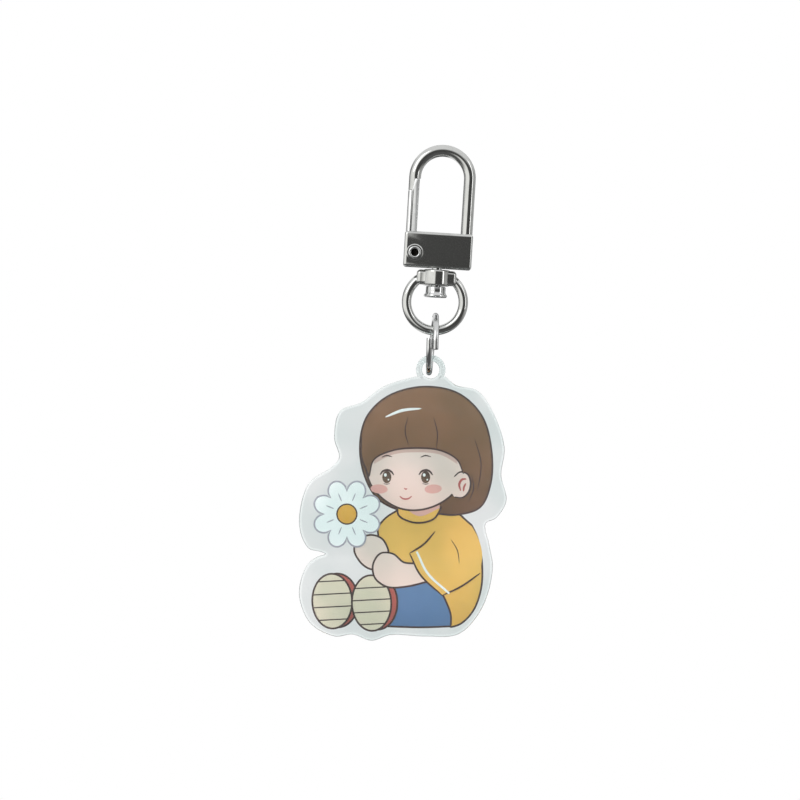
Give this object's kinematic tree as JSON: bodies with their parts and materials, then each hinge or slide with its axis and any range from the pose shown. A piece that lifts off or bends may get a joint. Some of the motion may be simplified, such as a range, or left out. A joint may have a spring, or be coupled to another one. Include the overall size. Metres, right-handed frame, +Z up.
{
  "type": "keychain",
  "caption": "Swivel snap hook with a sprung gate, carrying by a jump ring a clear acrylic charm with a print of a seated child holding a flower.",
  "frame": {"origin": "top of the hook's inner arch, where the keychain hangs on a ring, strap or zip pull", "axes": "+Z up along the hanging chain, +X to the right of the printed picture, and the picture faces -Y"},
  "size_m": [0.0435, 0.0132, 0.1055],
  "materials": {
    "cast_chrome": "bright nickel plating on cast zinc alloy",
    "plated_steel": "bright plated steel",
    "spring_steel": "drawn wire",
    "clear_acrylic": "clear polished sheet with glossy cut edges",
    "colour_ink": "printed ink seen through the plate",
    "white_ink": "matte white ink"
  },
  "bodies": {
    "clasp": {"clasp_body": "cast_chrome", "gate_pin": "plated_steel", "swivel_rivet": "plated_steel"},
    "gate_lever": {"gate": "plated_steel", "gate_spring": "spring_steel"},
    "swivel": {"swivel_ring": "cast_chrome"},
    "link": {"jump_ring": "plated_steel"},
    "charm": {"acrylic_plate": "clear_acrylic", "colour_print": "colour_ink", "white_backing": "white_ink"}
  },
  "joints": [
    {"name": "gate_hinge", "type": "hinge", "parent": "clasp", "child": "gate_lever", "pos_m": [-0.0049, 0, -0.02065], "axis": [0, 1, 0], "range_deg": [0, 28], "stiffness_Nm_per_rad": 0.02, "springref_deg": -20.05},
    {"name": "swivel_spin", "type": "hinge", "parent": "clasp", "child": "swivel", "pos_m": [0, 0, -0.02735], "axis": [0, 0, 1], "continuous": true},
    {"name": "jump_ring_swing", "type": "hinge", "parent": "swivel", "child": "link", "pos_m": [0, 0, -0.0368], "axis": [1, 0, 0], "range_deg": [-85, 85]},
    {"name": "charm_swing", "type": "hinge", "parent": "link", "child": "charm", "pos_m": [0, 0, -0.04512], "axis": [0, 1, 0], "range_deg": [-75, 75]}
  ]
}
